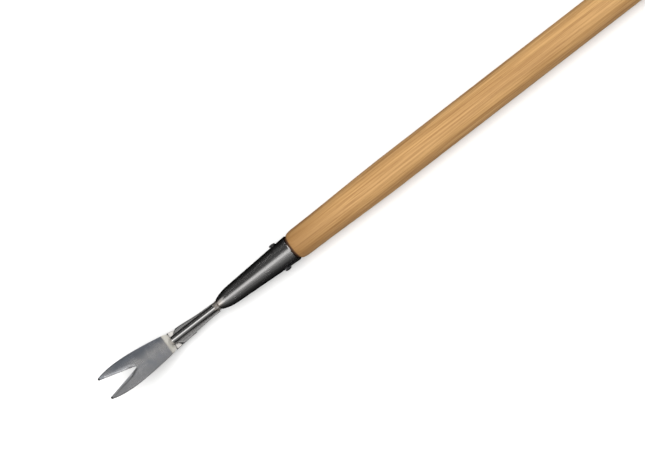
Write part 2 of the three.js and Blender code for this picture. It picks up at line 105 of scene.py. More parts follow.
class WeederSizes(bpy.types.PropertyGroup):
    """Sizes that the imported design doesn't give by its boxes."""
    clearance: length("Clearance", 0.3, "Gap between two pieces that meet")
    # handle
    shoulder_length: length("Shoulder", 10, "Length of the rounded shoulder above the socket")
    shoulder_overhang: length("Overhang", 1.15, "How far the wood stands out past the socket's rim")
    shoulder_setback: length("Setback", 1.1, "How far the wood's face starts inside the rim")
    shoulder_groove: length("Groove", 1.2, "Width of the shadow line between rim and wood")
    taper_length: length("Taper", 112, "From the shoulder to the handle's full thickness")
    butt_flat: length("Butt flat", 16, "Diameter of the flat at the handle's end")
    butt_rounding: length("Butt rounding", 12, "Length of the rounded end")
    # socket
    nose_length: length("Nose", 17, "Rounded end of the socket, as far as the cone")
    nose_solid: length("Solid nose", 12.5, "Length of the nose that is closed round the rod")
    nose_wall: length("Nose wall", 1.75, "Wall round the rod at the very end")
    cone_start: length("Cone start", 18.4, "Diameter where the cone starts")
    socket_wall: length("Wall", 1.5, "Thickness of the socket's wall")
    rim_slope: angle("Rim slope", 31, "Slope of the chamfer round the socket's mouth")
    lip_rounding: length("Lip", 0.95, "Rounding of the socket's rim")
    # rod and rivet
    rod_rounding: length("Rod rounding", 1.3, "Rounding of the rod's ends")
    rivet_shank: length("Rivet shank", 4, "Diameter of the rivet between its heads")
    rivet_head: length("Rivet head", 1.7, "Height of a rivet head")
    # sheet metal
    blade_sheet: length("Blade sheet", 2.5, "Thickness of the blade")
    blade_pitch: angle("Blade pitch", 17, "Rise of the blade towards its points")
    blade_length: length("Blade length", 71.1, "Along the sheet, from the heel bend to the points")
    blade_widest: length("Widest at", 48, "Distance of the widest place from the heel bend")
    bend_width: length("Width at the bend", 19.4, "Width of the blade at its heel bend")
    notch_depth: length("Notch", 36, "Depth of the V notch")
    notch_rounding: length("Notch rounding", 1.1, "Radius at the bottom of the notch")
    tine_spacing: length("Tine spacing", 21.2, "Between the two points")
    point_width: length("Point width", 1.8, "Width left at each point")
    bevel_width: length("Bevel", 2.3, "Width ground along the notch")
    bevel_edge: length("Bevel edge", 1.4, "Thickness left at the ground edge")
    outer_grind: length("Outer grind", 0.9, "Width of the soft grind on the outside of the tines")
    heel_length: length("Heel", 5.4, "Length of the band below the heel bend")
    heel_slope: angle("Heel slope", 33, "Fall of the heel band towards the handle")
    heel_width: length("Heel width", 15.8, "Width of the band at its end")
    heel_setback: length("Heel setback", 1.3, "From the rod's end back to the heel's edge")
    plate_sheet: length("Plate sheet", 2.5, "Thickness of the fulcrum plate")
    plate_top_width: length("Plate top width", 18, "Width of the fulcrum plate against the heel")
    plate_foot_width: length("Plate foot width", 12, "Width of the fulcrum plate at its foot")
    foot_length: length("Foot", 6, "Length of the flat that the tool rocks on")
    bend_radius: length("Bend radius", 2.6, "Radius of the bends, in the middle of the sheet")
    neck_sheet: length("Neck plate sheet", 2.0, "Thickness of the neck plate")
    neck_start: length("Neck plate start", 1.8, "From the rod's end to the plate's cut-off point")
    neck_point: length("Neck plate point", 6, "Width of the cut-off point")
    neck_shoulder: length("Neck plate shoulder", 7.5, "From the rod's end to the full width")
    neck_width: length("Neck plate width", 15.8, "Full width of the neck plate")
    neck_nose: length("Neck plate nose", 10.4, "Width of the neck plate at the socket")
    neck_draw: length("Neck plate draw", 5.5, "Half width that the sides are drawn towards")
    edge_rounding: length("Edge rounding", 0.28, "Rounding of the sheet's edges")
    bead: length("Bead", 2.2, "Size of a weld bead")
    round_segments: IntProperty(name="Segments", description="Facets round a turned piece",
                                default=128, min=16)
    seed: IntProperty(name="Seed", description="Seed of the weld ripples", default=7)


class WeederColours(bpy.types.PropertyGroup):
    """Colours and light levels."""
    ash_pale: colour("Pale ash", (0.465, 0.270, 0.102), "Early wood, between the rings")
    ash_dark: colour("Dark ash", (0.235, 0.112, 0.033), "Late wood and dark streaks")
    ash_oiled: colour("Oiled ash", (0.215, 0.105, 0.030), "Wood that is soaked with oil above the socket")
    # Painted shade: the dark line in the groove between the socket's rim and the wood, painted into the
    # wood's colour
    groove_shade: colour("Groove shade", (0.052, 0.021, 0.012), "Dark oil in the groove at the socket's rim")
    steel: colour("Polished steel", (0.60, 0.59, 0.58), "Socket, rod and fulcrum plate")
    blade: colour("Blade steel", (0.515, 0.515, 0.525), "Satin stainless of the blade")
    blade_warm: colour("Warm patches", (0.60, 0.565, 0.545), "Cloudy warm patches on the blade")
    # Painted shade: dark and bluish, laid along one flank of the blade
    blade_flank_shade: colour("Shaded flank", (0.215, 0.235, 0.275), "Bluish shading along one flank of the blade")
    # Near-black colour over the last few millimetres of the blade's points
    stain: colour("Dark points", (0.035, 0.033, 0.03), "Dark stain at the blade's points")
    # Painted highlight: the heel band's near-white colour stands in for the bright light it reflects; the
    # brushing is its added roughness
    heel: colour("Heel", (0.90, 0.875, 0.81), "Highlighted brushed heel band")
    rivet: colour("Rivet", (0.22, 0.22, 0.225), "The rivet's dull steel")
    straw: colour("Straw tint", (0.57, 0.49, 0.40), "Outer heat tint beside a weld")
    brown: colour("Brown tint", (0.40, 0.33, 0.29), "Inner heat tint beside a weld")
    floor: colour("Floor", (0.86, 0.86, 0.855), "The plain floor")


def sizes():
    return bpy.context.scene.weeder_sizes


def colours():
    return bpy.context.scene.weeder_colours


# ---- places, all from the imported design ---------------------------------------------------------

class Places:
    """Where things are, in metres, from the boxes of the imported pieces."""

    def __init__(self):
        s = sizes()
        rod_low, rod_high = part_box("neck_rod")
        socket_low, socket_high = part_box("socket")
        handle_low, handle_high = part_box("handle")
        rivet_low, rivet_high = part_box("rivet")
        self.axis_z = (rod_low[2] + rod_high[2]) / 2
        self.rod_x = rod_low[0]
        self.rod_end_x = rod_high[0]
        self.rod_radius = (rod_high[2] - rod_low[2]) / 2
        self.nose_x = socket_low[0]
        self.mouth_x = socket_high[0]
        self.mouth_radius = (socket_high[1] - socket_low[1]) / 2 + PACKED_SAG
        self.nose_radius = self.rod_radius + s.nose_wall
        self.cone_x = self.nose_x + s.nose_length
        self.tenon_x = handle_low[0]
        self.butt_x = handle_high[0]
        self.handle_radius = (handle_high[1] - handle_low[1]) / 2
        self.rivet_x = (rivet_low[0] + rivet_high[0]) / 2
        self.rivet_reach = (rivet_high[1] - rivet_low[1]) / 2
        self.rivet_radius = (rivet_high[0] - rivet_low[0]) / 2
        self.blade_half = (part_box("blade")[1][1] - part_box("blade")[0][1]) / 2
        self.find_bends(s)

    def find_bends(self, s):
        """Corners of the two bent sheets in side view, as (x, height above the axis)."""
        self.heel_down = Vector((math.cos(s.heel_slope), -math.sin(s.heel_slope)))
        self.heel_face = Vector((math.sin(s.heel_slope), math.cos(s.heel_slope)))
        edge_z = s.heel_setback * math.tan(s.heel_slope) - self.rod_radius - s.clearance
        edge = Vector((self.rod_x - s.heel_setback, edge_z))
        self.heel_end = edge - self.heel_face * s.blade_sheet / 2
        self.heel_bend = self.heel_end - self.heel_down * s.heel_length
        self.bend_x = self.heel_bend.x - self.rod_x
        self.tip_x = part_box("blade")[0][0]
        self.blade_out = Vector((-math.cos(s.blade_pitch), math.sin(s.blade_pitch)))
        self.points = self.heel_bend + self.blade_out * s.blade_length
        self.plate_top = self.heel_end + self.heel_down * s.clearance
        foot_z = s.plate_sheet / 2 - self.axis_z
        fall = (foot_z - self.plate_top.y) / self.heel_down.y
        self.foot_start = self.plate_top + self.heel_down * fall
        self.foot_end = self.foot_start + Vector((s.foot_length, 0))
        self.neck_top = -(self.rod_radius + s.clearance)
        self.neck_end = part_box("neck_plate")[1][0]

    def clear_of_plate(self, height):
        """Where a line set clear of the sloping plate's upper face is at a height."""
        s = sizes()
        face = self.plate_top + self.heel_face * (s.plate_sheet / 2 + s.clearance)
        return face.x + (height - face.y) * self.heel_down.x / self.heel_down.y

    def socket_radius(self, x):
        """Outside of the socket: a rounded nose that runs into the cone."""
        s = sizes()
        start = s.cone_start / 2
        cone = (self.mouth_radius - start) / (self.mouth_x - self.cone_x)
        if x >= self.cone_x:
            return start + cone * (x - self.cone_x)
        along = (self.cone_x - x) / s.nose_length
        part = start - cone * (self.cone_x - x)
        return part - (part - self.nose_radius) * along ** NOSE_FULLNESS


# ---- node helpers -------------------------------------------------------------------------------

class Nodes:
    """Short hand for building a node tree."""

    def __init__(self, tree):
        self.tree = tree
        tree.nodes.clear()

    def fill(self, socket, value):
        """Links another node's socket to this one, or sets a plain value on it."""
        if isinstance(value, bpy.types.NodeSocket):
            self.tree.links.new(value, socket)
        else:
            socket.default_value = value

    def add(self, kind, inputs=None, **settings):
        node = self.tree.nodes.new(kind)
        for key, value in settings.items():
            setattr(node, key, value)
        for key, value in (inputs or {}).items():
            self.fill(node.inputs[key], value)
        return node

    def math(self, operation, a, b=0.0, clamp=False):
        return self.add("ShaderNodeMath", {0: a, 1: b}, operation=operation, use_clamp=clamp).outputs[0]

    def plus(self, a, b, clamp=False):
        return self.math("ADD", a, b, clamp)

    def times(self, a, b):
        return self.math("MULTIPLY", a, b)

    def vector(self, operation, a, b=(0.0, 0.0, 0.0)):
        return self.add("ShaderNodeVectorMath", {0: a, 1: b}, operation=operation).outputs[0]

    def axes(self, vector):
        """The x, y and z of a vector."""
        return self.add("ShaderNodeSeparateXYZ", {0: vector}).outputs[:3]

    def ramp(self, value, low, high, out_low=0.0, out_high=1.0, smooth=True):
        node = self.add("ShaderNodeMapRange", {"Value": value, "From Min": low, "From Max": high,
                                               "To Min": out_low, "To Max": out_high},
                        interpolation_type="SMOOTHSTEP" if smooth else "LINEAR")
        return node.outputs[0]

    def mix(self, factor, a, b):
        node = self.add("ShaderNodeMix", {0: factor}, data_type="RGBA")
        for key, value in ((6, a), (7, b)):
            linked = isinstance(value, bpy.types.NodeSocket)
            self.fill(node.inputs[key], value if linked else (*value, 1.0))
        return node.outputs[2]

    def noise(self, vector, scale, detail=3.0, roughness=0.5, distortion=0.0):
        node = self.add("ShaderNodeTexNoise", {"Vector": vector, "Scale": scale, "Detail": detail,
                                               "Roughness": roughness, "Distortion": distortion})
        return node.outputs["Fac"]

    def drawn_noise(self, vector, per_metre, detail, roughness=0.5):
        """Noise that is drawn out by its own amount along each axis."""
        return self.noise(self.vector("MULTIPLY", vector, per_metre), 1.0, detail, roughness)

    def bump(self, height, distance, strength, normal=None):
        inputs = {"Height": height, "Distance": distance, "Strength": strength}
        if normal is not None:
            inputs["Normal"] = normal
        return self.add("ShaderNodeBump", inputs).outputs["Normal"]


def new_material(name):
    material = bpy.data.materials.new(name)
    material.use_nodes = True
    nodes = Nodes(material.node_tree)
    place = nodes.add("ShaderNodeTexCoord").outputs["Object"]
    shader = nodes.add("ShaderNodeBsdfPrincipled")
    nodes.add("ShaderNodeOutputMaterial", {"Surface": shader.outputs[0]})
    return material, nodes, place, shader


def plug(nodes, shader, **values):
    for key, value in values.items():
        nodes.fill(shader.inputs[key.replace("_", " ")], value)


def scaled(colour_value, factor):
    """The same colour, darker or lighter."""
    return tuple(v * factor for v in colour_value)


# ---- materials ----------------------------------------------------------------------------------

# How often a mark repeats in a metre: along the tool, across it and up.
WOOD_DRIFT = (5.0, 30.0, 30.0)
WOOD_BANDS = (4.0, 90.0, 90.0)
WOOD_STREAKS = (9.0, 520.0, 520.0)
WOOD_FIBRES = (26.0, 1500.0, 1500.0)
WOOD_PORES = (120.0, 3600.0, 3600.0)
BELT_LINES = (18.0, 2600.0, 2600.0)
GRINDING_LINES = (2600.0, 140.0, 140.0)
CROSS_LINES = (160.0, 2200.0, 500.0)

RINGS_PER_METRE = 300.0
RING_LEAN = 0.8             # sideways for each step up
RING_SLOPE = 0.006          # the grain runs this far out of line
RING_WOBBLE = 0.004

OILED = (1 * MM, 70 * MM)           # oil fades between these distances from the socket's rim
# Painted shade in the groove at the socket's rim fades between these distances from the rim
GROOVE_SHADE = (1.3 * MM, 2.6 * MM)
PAINTED_SHADE_FLANK = (0.0, 10.5 * MM)        # painted bluish shade, from the middle line towards the darker flank
PAINTED_DIM_FLANK = (-12 * MM, -3 * MM)     # painted shade, lighter, on the other flank
FLANK_SHADE_END = (-74 * MM, -50 * MM)     # from the rod's end, where the painted flank shade fades to the points
HEEL_HIGHLIGHT_START = (-0.7 * MM, 0.4 * MM)  # where the painted highlight on the heel band starts, about the heel bend
DARKENED_POINTS = (1.5 * MM, 2.9 * MM)      # darkened, from the blade's points


def ash_wood(places):
    """Oiled ash: straight rings, fine dark and pale streaks and open pores along the handle."""
    c = colours()
    material, nodes, place, shader = new_material("ash_wood")
    centred = nodes.vector("SUBTRACT", place, (places.mouth_x, 0.0, places.axis_z))
    x, y, z = nodes.axes(centred)
    wobble = nodes.times(nodes.drawn_noise(centred, WOOD_DRIFT, 2.0), RING_WOBBLE)
    lean = nodes.plus(z, nodes.times(y, RING_LEAN))
    ring_place = nodes.plus(nodes.plus(lean, wobble), nodes.times(x, RING_SLOPE))
    ring = nodes.math("FRACT", nodes.times(ring_place, RINGS_PER_METRE))
    late = nodes.ramp(ring, 0.35, 0.95)
    streak = nodes.drawn_noise(centred, WOOD_STREAKS, 3.0, 0.6)
    fibre = nodes.drawn_noise(centred, WOOD_FIBRES, 4.0, 0.6)
    broad = nodes.drawn_noise(centred, WOOD_BANDS, 2.0)
    pore_noise = nodes.drawn_noise(centred, WOOD_PORES, 1.0)
    pores = nodes.times(nodes.ramp(pore_noise, 0.60, 0.74), nodes.ramp(ring, 0.25, 0.75))
    shade = nodes.plus(nodes.times(late, 0.18), nodes.ramp(fibre, 0.35, 0.7, 0.0, 0.22))
    shade = nodes.plus(shade, nodes.ramp(streak, 0.34, 0.68, 0.0, 0.62))
    shade = nodes.plus(shade, nodes.ramp(broad, 0.35, 0.75, -0.14, 0.2), clamp=True)
    base = nodes.mix(shade, c.ash_pale, c.ash_dark)
    base = nodes.mix(nodes.times(pores, 0.4), base, scaled(c.ash_dark, 0.55))
    base = nodes.mix(nodes.ramp(x, *OILED, 0.75, 0.0, smooth=False), base, c.ash_oiled)
    # Painted shade: near black in the groove just past the socket's rim
    base = nodes.mix(nodes.ramp(x, *GROOVE_SHADE, 0.9, 0.0), base, c.groove_shade)
    height = nodes.math("SUBTRACT", nodes.times(fibre, 0.4), pores)
    plug(nodes, shader, Base_Color=base, Roughness=nodes.ramp(fibre, 0.3, 0.75, 0.40, 0.54),
         Normal=nodes.bump(height, 0.05 * MM, 0.6), Specular_IOR_Level=0.35, Coat_Weight=0.06,
         Coat_Roughness=0.35)
    return material


def heat_tint(nodes, place, x, reach, base, strength):
    """Brown then straw bands that fade away from a weld at x."""
    c = colours()
    away = nodes.math("ABSOLUTE", nodes.math("SUBTRACT", nodes.axes(place)[0], x))
    uneven = nodes.times(nodes.noise(place, 420.0, 2.0), reach * 0.5)
    away = nodes.math("SUBTRACT", nodes.plus(away, uneven), reach * 0.25)
    straw = nodes.ramp(away, reach * 0.45, reach, 0.75 * strength, 0.0)
    brown = nodes.ramp(away, reach * 0.1, reach * 0.6, 0.8 * strength, 0.0)
    return nodes.mix(brown, nodes.mix(straw, base, c.straw), c.brown)


def polished_steel(name, tint_at, tint_reach, tint, roughness=0.2, painted_light_factor=1.0):
    """Steel with fine belt lines along the tool, cloudy, with a heat tint near its weld; its colour is
    scaled up or down as painted light.
    """
    steel = scaled(colours().steel, painted_light_factor)
    material, nodes, place, shader = new_material(name)
    lines = nodes.drawn_noise(place, BELT_LINES, 5.0, 0.62)
    cloud = nodes.noise(place, 60.0, 3.0)
    base = nodes.mix(nodes.times(cloud, 0.35), steel, scaled(steel, 0.86))
    base = heat_tint(nodes, place, tint_at, tint_reach, base, tint)
    rough = nodes.plus(nodes.ramp(lines, 0.3, 0.75, roughness - 0.03, roughness + 0.06),
                       nodes.ramp(cloud, 0.3, 0.7, 0.0, 0.04))
    plug(nodes, shader, Base_Color=base, Roughness=rough, Metallic=1.0,
         Normal=nodes.bump(lines, 0.012 * MM, 0.7))
    return material


def blade_steel(places):
    """Satin stainless: fine grinding lines, a cloudy tone, and painted shade on both flanks that is darkest
    and bluish along one.
    """
    c = colours()
    material, nodes, place, shader = new_material("blade_steel")
    x, y, _ = nodes.axes(place)
    grind = nodes.drawn_noise(place, GRINDING_LINES, 4.0, 0.6)
    cross = nodes.drawn_noise(place, CROSS_LINES, 3.0, 0.6)
    cloud = nodes.noise(place, 85.0, 4.0, 0.55, 0.6)
    patch = nodes.noise(place, 34.0, 2.0)
    cool = tuple(v * f for v, f in zip(c.blade, (0.80, 0.83, 0.88)))
    base = nodes.mix(nodes.ramp(cloud, 0.36, 0.66), c.blade, cool)
    base = nodes.mix(nodes.ramp(patch, 0.45, 0.7, 0.0, 0.35), base, c.blade_warm)
    # Painted shade: darker towards both flanks, darkest and bluish on one, fading towards the points
    flank = nodes.plus(y, nodes.times(nodes.math("SUBTRACT", cloud, 0.5), 9 * MM))
    flank_shade = nodes.times(nodes.ramp(flank, *PAINTED_SHADE_FLANK, 0.0, 0.85),
                       nodes.ramp(x, *(places.rod_x + d for d in FLANK_SHADE_END), 0.1, 1.0))
    base = nodes.mix(flank_shade, base, c.blade_flank_shade)
    base = nodes.mix(nodes.ramp(flank, *PAINTED_DIM_FLANK, 0.5, 0.0), base, scaled(c.blade, 0.72))
    # Painted highlight on the heel band below the bend; the band is also made rougher, as brushed
    heel = nodes.ramp(x, *(places.rod_x + places.bend_x + d for d in HEEL_HIGHLIGHT_START))
    base = nodes.mix(heel, base, c.heel)
    # Near black over the last few millimetres at the points
    base = nodes.mix(nodes.ramp(x, *(places.tip_x + d for d in DARKENED_POINTS), 0.95, 0.0), base, c.stain)
    lines = nodes.plus(nodes.times(grind, 0.6), nodes.times(cross, 0.4))
    rough = nodes.plus(nodes.ramp(lines, 0.35, 0.65, 0.26, 0.36), nodes.ramp(cloud, 0.35, 0.7, -0.03, 0.07))
    rough = nodes.plus(rough, nodes.times(heel, 0.16))
    normal = nodes.bump(cloud, 0.25 * MM, 0.35, nodes.bump(lines, 0.02 * MM, 0.7))
    plug(nodes, shader, Base_Color=base, Roughness=rough, Normal=normal, Metallic=1.0)
    return material


def rivet_steel():
    """Dull steel with small hammer dents and dark stains."""
    c = colours()
    material, nodes, place, shader = new_material("rivet_steel")
    stain = nodes.noise(place, 350.0, 3.0)
    plug(nodes, shader, Roughness=nodes.ramp(stain, 0.35, 0.7, 0.30, 0.5), Metallic=1.0,
         Base_Color=nodes.mix(nodes.ramp(stain, 0.4, 0.65), c.rivet, scaled(c.rivet, 0.55)),
         Normal=nodes.bump(nodes.noise(place, 900.0, 3.0), 0.12 * MM, 0.6))
    return material


def weld_metal():
    """Pale weld metal with straw and brown stains."""
    c = colours()
    material, nodes, place, shader = new_material("weld_metal")
    stain = nodes.noise(place, 700.0, 4.0)
    base = nodes.mix(nodes.ramp(stain, 0.38, 0.62), scaled(c.steel, 1.3), c.straw)
    base = nodes.mix(nodes.ramp(nodes.noise(place, 420.0, 2.0), 0.5, 0.7, 0.0, 0.45), base, c.brown)
    plug(nodes, shader, Base_Color=base, Roughness=nodes.ramp(stain, 0.3, 0.7, 0.28, 0.46), Metallic=1.0,
         Normal=nodes.bump(nodes.noise(place, 4200.0, 3.0), 0.05 * MM, 0.5))
    return material


# ---- Geometry Nodes -----------------------------------------------------------------------------

def new_tree(name, inputs):
    """A tree with inputs {name: (kind, default)} between its geometry and its material."""
    tree = bpy.data.node_groups.new(name, "GeometryNodeTree")
    inputs = {"Geometry": ("Geometry", None), **inputs, "Material": ("Material", None)}
    for label, (kind, default) in inputs.items():
        socket = tree.interface.new_socket(name=label, in_out="INPUT", socket_type="NodeSocket" + kind)
        if default is not None:
            socket.default_value = default
    tree.interface.new_socket(name="Geometry", in_out="OUTPUT", socket_type="NodeSocketGeometry")
    nodes = Nodes(tree)
    return nodes, nodes.add("NodeGroupInput").outputs


def close_tree(nodes, geometry, material):
    """Realizes the instances, sets the material and ends the tree."""
    real = nodes.add("GeometryNodeRealizeInstances", {"Geometry": geometry})
    finish = nodes.add("GeometryNodeSetMaterial", {"Geometry": real.outputs[0], "Material": material})
    nodes.add("NodeGroupOutput", {0: finish.outputs[0]})
    return nodes.tree


def turning_tree():
    """Turns a row of points, each (distance along, radius, 0), into a body round the X axis."""
    nodes, given = new_tree("turned_body", {
        "Segments": ("Int", 64), "Axis Height": ("Float", 0.0), "Weld Distance": ("Float", SAME_SPOT)})
    count = nodes.add("GeometryNodeAttributeDomainSize", {"Geometry": given["Geometry"]},
                      component="MESH").outputs["Point Count"]
    rings = nodes.math("SUBTRACT", count, 1.0)
    barrel = nodes.add("GeometryNodeMeshCylinder", {
        "Vertices": given["Segments"], "Side Segments": rings, "Radius": 1.0, "Depth": 1.0,
    }, fill_type="NONE")
    position = nodes.add("GeometryNodeInputPosition").outputs[0]
    x, y, z = nodes.axes(position)
    ring = nodes.math("ROUND", nodes.times(nodes.plus(z, 0.5), rings))
    sample = nodes.add("GeometryNodeSampleIndex", {"Geometry": given["Geometry"]},
                       data_type="FLOAT_VECTOR", domain="POINT")
    nodes.fill(sample.inputs["Value"], position)
    nodes.fill(sample.inputs["Index"], ring)
    along, radius, _ = nodes.axes(sample.outputs[0])
    up = nodes.plus(nodes.times(y, radius), given["Axis Height"])
    placed = nodes.add("ShaderNodeCombineXYZ", {0: along, 1: nodes.times(x, radius), 2: up}).outputs[0]
    shaped = nodes.add("GeometryNodeSetPosition", {"Geometry": barrel.outputs["Mesh"], "Position": placed})
    merged = nodes.add("GeometryNodeMergeByDistance", {
        "Geometry": shaped.outputs[0], "Distance": given["Weld Distance"]})
    return close_tree(nodes, merged.outputs[0], given["Material"])


def bead_tree():
    """Lays overlapping ripples of weld metal along a path and fuses them into one bead."""
    nodes, given = new_tree("weld_bead", {
        "Ripple Spacing": ("Float", 0.7 * MM), "Bead Radius": ("Float", 1.1 * MM),
        "Unevenness": ("Float", 0.12), "Voxel": ("Float", 0.14 * MM), "Seed": ("Int", 1)})
    path = nodes.add("GeometryNodeMeshToCurve", {"Mesh": given["Geometry"]})
    points = nodes.add("GeometryNodeCurveToPoints", {
        "Curve": path.outputs[0], "Length": given["Ripple Spacing"]}, mode="LENGTH")
    shift = nodes.add("FunctionNodeRandomValue", {
        "Min": (-1.0, -1.0, -1.0), "Max": (1.0, 1.0, 1.0), "Seed": given["Seed"]},
        data_type="FLOAT_VECTOR").outputs[0]
    shift_size = nodes.times(given["Bead Radius"], given["Unevenness"])
    offset = nodes.add("ShaderNodeVectorMath", {0: shift, "Scale": shift_size}, operation="SCALE")
    moved = nodes.add("GeometryNodeSetPosition", {
        "Geometry": points.outputs["Points"], "Offset": offset.outputs[0]})
    low = nodes.math("SUBTRACT", 1.0, given["Unevenness"])
    vary = nodes.add("FunctionNodeRandomValue", {2: low, 3: 1.0, "Seed": given["Seed"]},
                     data_type="FLOAT").outputs[1]
    index = nodes.add("GeometryNodeInputIndex").outputs[0]
    beat = nodes.times(nodes.math("MODULO", index, 2.0), 0.14)
    ripple = nodes.times(nodes.math("SUBTRACT", vary, beat), given["Bead Radius"])
    volume = nodes.add("GeometryNodePointsToVolume", {
        "Points": moved.outputs[0], "Radius": ripple, "Voxel Size": given["Voxel"]},
        resolution_mode="VOXEL_SIZE")
    skin = nodes.add("GeometryNodeVolumeToMesh", {
        "Volume": volume.outputs[0], "Threshold": 0.1, "Adaptivity": 0.0})
    return close_tree(nodes, skin.outputs[0], given["Material"])


def shared(tree_maker, name):
    return bpy.data.node_groups.get(name) or tree_maker()


def add_object(name, data):
    item = bpy.data.objects.new(name, data)
    bpy.context.collection.objects.link(item)
    return item


def finished(draft, name):
    """Replaces a draft by a plain object that holds its evaluated mesh, with no modifiers."""
    bpy.context.view_layer.update()
    depsgraph = bpy.context.evaluated_depsgraph_get()
    plain = add_object(name, bpy.data.meshes.new_from_object(draft.evaluated_get(depsgraph)))
    bpy.data.objects.remove(draft)
    plain.name = name
    return plain


def run_tree(name, points, edges, tree, values, material):
    """Runs a tree on a small mesh of points and returns the result as a plain object."""
    mesh = bpy.data.meshes.new(name)
    mesh.from_pydata(points, edges, [])
    draft = add_object(name, mesh)
    modifier = draft.modifiers.new(tree.name, "NODES")
    modifier.node_group = tree
    values = dict(values, Material=material)
    for item in tree.interface.items_tree:
        if item.item_type == "SOCKET" and item.in_out == "INPUT" and item.name in values:
            modifier[item.identifier] = values[item.name]
    plain = finished(draft, name)
    if not plain.data.materials:
        plain.data.materials.append(material)
    return plain


def tidy_normals(piece):
    """Merges doubles, points the faces outwards and keeps real corners sharp."""
    work = bmesh.new()
    work.from_mesh(piece.data)
    bmesh.ops.remove_doubles(work, verts=work.verts, dist=SAME_SPOT / 2)
    bmesh.ops.recalc_face_normals(work, faces=work.faces)
    work.to_mesh(piece.data)
    work.free()
    piece.data.shade_smooth()
    piece.data.set_sharp_from_angle(angle=TURNED_CORNER)
    return piece


def finish_piece(piece, slot, *nodes):
    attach(piece, BODY)
    if nodes:
        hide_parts(*nodes)
    return piece


# ---- turned pieces ------------------------------------------------------------------------------

def turned(name, profile, material, height, segments=None):
    """A body turned about a line along the tool, at a height."""
    points = [(x, radius, 0.0) for x, radius in profile]
    values = {"Segments": segments or sizes().round_segments, "Axis Height": height,
              "Weld Distance": SAME_SPOT}
    return run_tree(name, points, [], shared(turning_tree, "turned_body"), values, material)


def quarter(steps, first=0):
    """Angles of a quarter turn."""
    return [math.pi / 2 * k / steps for k in range(first, steps + 1)]


def handle_profile(places):
    """Tenon, rounded shoulder, swelling neck, straight part and rounded butt."""
    s = sizes()
    shoulder_x = places.mouth_x + s.shoulder_groove
    neck_x = places.mouth_x + s.shoulder_length
    neck = places.mouth_radius + s.shoulder_overhang
    face = places.mouth_radius - s.shoulder_setback
    full = places.handle_radius
    inside = s.socket_wall + s.clearance
    tenon_start = places.socket_radius(places.tenon_x) - inside
    tenon_mouth = places.socket_radius(places.mouth_x) - inside
    profile = [(places.tenon_x, 0.0), (places.tenon_x, tenon_start - TENON_CHAMFER),
               (places.tenon_x + TENON_CHAMFER, tenon_start), (shoulder_x, tenon_mouth)]
    profile += [(shoulder_x + (neck_x - shoulder_x) * (1 - math.cos(a)), face + (neck - face) * math.sin(a))
                for a in quarter(16)]
    steps = 28
    for k in range(1, steps + 1):
        swell = (1 - math.cos(math.pi * k / steps)) / 2
        profile.append((neck_x + s.taper_length * k / steps, neck + (full - neck) * swell))
    straight_end = places.butt_x - s.butt_rounding
    straight_start = neck_x + s.taper_length
    profile += [(straight_start + (straight_end - straight_start) * k / 12, full) for k in range(1, 12)]
    flat = s.butt_flat / 2
    profile += [(places.butt_x - s.butt_rounding * (1 - math.sin(a)), flat + (full - flat) * math.cos(a))
                for a in quarter(14)]
    return profile + [(places.butt_x, 0.0)]


def socket_profile(places):
    """Rounded nose, cone and chamfered rim, then back down the inside to the closed nose."""
    s = sizes()
    bore = places.rod_radius + ROD_FIT
    lip = s.lip_rounding
    nose_x, cone_x, mouth_x = places.nose_x, places.cone_x, places.mouth_x
    nose_edge = places.socket_radius(nose_x + lip) - lip
    profile = [(nose_x, bore)]
    profile += [(nose_x + lip * (1 - math.cos(a)), nose_edge + lip * math.sin(a)) for a in quarter(5)]
    along = [nose_x + lip + (s.nose_length - lip) * k / 30 for k in range(1, 31)]
    along += [cone_x + (mouth_x - 2 * lip - cone_x) * k / 15 for k in range(1, 16)]
    along += [mouth_x - back * lip for back in RIM_SUPPORTS]
    profile += [(x, places.socket_radius(x)) for x in along]
    rim = places.socket_radius(mouth_x - lip)
    fall = lip * math.tan(s.rim_slope)
    profile += [(mouth_x - back * lip, rim - drop * fall) for back, drop in RIM_CHAMFER]
    inner = rim - s.socket_wall
    profile += [(mouth_x, inner + 0.1 * MM), (mouth_x - 0.1 * MM, inner)]
    deep_x = nose_x + s.nose_solid
    profile += [(x, places.socket_radius(x) - s.socket_wall) for x in (cone_x, deep_x)]
    return profile + [(deep_x, bore), (nose_x, bore)]


def rod_profile(places):
    rounding = sizes().rod_rounding
    radius = places.rod_radius
    lower = [(places.rod_x + rounding * (1 - math.sin(a)), radius - rounding * (1 - math.cos(a)))
             for a in reversed(quarter(8))]
    upper = [(places.rod_end_x - (x - places.rod_x), r) for x, r in reversed(lower)]
    middle = [(places.rod_x + (places.rod_end_x - places.rod_x) * k / 12, radius) for k in range(1, 12)]
    return [(places.rod_x, 0.0), *lower, *middle, *upper, (places.rod_end_x, 0.0)]


def rivet_mesh(places, material):
    """Both heads and the shank, turned about the line across the tool."""
    s = sizes()
    seat = places.rivet_reach - s.rivet_head
    head = places.rivet_radius
    half = [(seat - 0.9 * MM, s.rivet_shank / 2), (seat - 0.3 * MM, s.rivet_shank / 2 + 0.2 * MM),
            (seat, head - 0.35 * MM), (seat + 0.15 * MM, head), (seat + s.rivet_head * RIVET_RIM, head)]
    half += [(seat + s.rivet_head * (RIVET_RIM + (1 - RIVET_RIM) * math.sin(a)),
              head * math.cos(a) ** 0.8)
             for a in quarter(10, 1)]
    profile = [(-along, radius) for along, radius in reversed(half)] + half
    piece = turned("rivet", profile, material, 0.0, RIVET_SEGMENTS)
    turn = Matrix.Translation((places.rivet_x, 0.0, places.axis_z)) @ Matrix.Rotation(math.pi / 2, 4, "Z")
    piece.data.transform(turn)
    return tidy_normals(piece)


# ---- sheet metal --------------------------------------------------------------------------------

